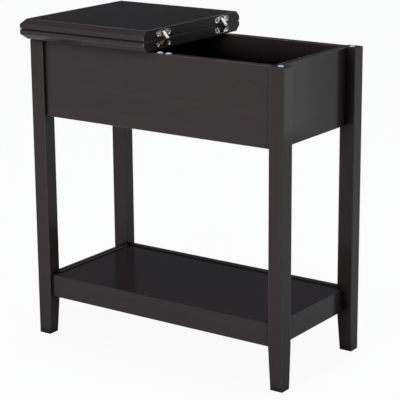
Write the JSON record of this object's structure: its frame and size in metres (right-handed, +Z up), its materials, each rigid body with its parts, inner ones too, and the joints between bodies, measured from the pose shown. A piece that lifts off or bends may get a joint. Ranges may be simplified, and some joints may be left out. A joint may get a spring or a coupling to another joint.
{
  "type": "flip-top end table",
  "caption": "Narrow dark wood end table with square tapered legs, a lower shelf, and a deep storage box under a top whose hinged half folds over onto the fixed half.",
  "frame": {"origin": "on the floor, midway between the four legs", "axes": "+Z up; +X along the table towards the end where the box stands open; the front with the two apron bumpers faces -Y"},
  "size_m": [0.5765, 0.309, 0.6303],
  "materials": {
    "espresso_wood": "satin espresso stain",
    "storage_board": "matte dark board",
    "hinge_nickel": "bright nickel plate",
    "hinge_bronze": "dull bronze",
    "clear_dome": "clear gloss",
    "dark_cover": "matte",
    "glide_plastic": "matte",
    "zinc": "die-cast zinc",
    "steel": "zinc-plated steel",
    "beech": "fluted beech, plain here"
  },
  "bodies": {
    "base": {"apron_bumpers": "clear_dome", "apron_dowels": "beech", "back_apron": "espresso_wood", "batten_screws": "steel", "cam_covers": "dark_cover", "end_rail_dowels": "beech", "fixed_top": "espresso_wood", "foot_glide_back_left": "glide_plastic", "foot_glide_back_right": "glide_plastic", "foot_glide_front_left": "glide_plastic", "foot_glide_front_right": "glide_plastic", "front_apron": "espresso_wood", "hinge_cup_fixed_back": "hinge_nickel", "hinge_cup_fixed_front": "hinge_nickel", "hinge_screws_fixed": "hinge_nickel", "left_end_panel": "espresso_wood", "leg_back_left": "espresso_wood", "leg_back_right": "espresso_wood", "leg_bumpers": "clear_dome", "leg_front_left": "espresso_wood", "leg_front_right": "espresso_wood", "panel_cam_bolts": "steel", "panel_cam_locks": "zinc", "rail_dowels": "beech", "right_end_panel": "espresso_wood", "shelf_back_batten": "espresso_wood", "shelf_back_rail": "espresso_wood", "shelf_front_batten": "espresso_wood", "shelf_front_rail": "espresso_wood", "shelf_left_rail": "espresso_wood", "shelf_panel": "espresso_wood", "shelf_right_rail": "espresso_wood", "storage_bottom": "storage_board", "top_cam_bolts": "steel", "top_cam_locks": "zinc"},
    "flip_top": {"flip_top": "espresso_wood", "hinge_screws_flip": "hinge_nickel", "hinge_cup_flip_front": "hinge_nickel", "hinge_cup_flip_back": "hinge_nickel"},
    "fixed_arm_front": {"hinge_arm_fixed_front": "hinge_bronze"},
    "flip_arm_front": {"hinge_arm_flip_front": "hinge_nickel", "hinge_pin_front": "hinge_nickel"},
    "fixed_arm_back": {"hinge_arm_fixed_back": "hinge_bronze"},
    "flip_arm_back": {"hinge_arm_flip_back": "hinge_nickel", "hinge_pin_back": "hinge_nickel"}
  },
  "joints": [
    {"name": "flip", "type": "hinge", "parent": "base", "child": "flip_top", "pos_m": [0.0003, 0, 0.611], "axis": [0, 1, 0], "range_deg": [0, 180]},
    {"name": "fixed_arm_swing_front", "type": "hinge", "parent": "base", "child": "fixed_arm_front", "pos_m": [-0.00954, -0.0935, 0.62084], "axis": [0, 1, 0], "range_deg": [0, 30]},
    {"name": "flip_arm_swing_front", "type": "hinge", "parent": "flip_top", "child": "flip_arm_front", "pos_m": [-0.00954, -0.0935, 0.60116], "axis": [0, 1, 0], "range_deg": [-30, 0]},
    {"name": "fixed_arm_swing_back", "type": "hinge", "parent": "base", "child": "fixed_arm_back", "pos_m": [-0.00954, 0.0935, 0.62084], "axis": [0, 1, 0], "range_deg": [0, 30]},
    {"name": "flip_arm_swing_back", "type": "hinge", "parent": "flip_top", "child": "flip_arm_back", "pos_m": [-0.00954, 0.0935, 0.60116], "axis": [0, 1, 0], "range_deg": [-30, 0]}
  ],
  "couplings": [
    {"joint": "fixed_arm_swing_front", "follows": "flip", "ratio": 0.16667},
    {"joint": "flip_arm_swing_front", "follows": "flip", "ratio": -0.16667},
    {"joint": "fixed_arm_swing_back", "follows": "flip", "ratio": 0.16667},
    {"joint": "flip_arm_swing_back", "follows": "flip", "ratio": -0.16667}
  ]
}
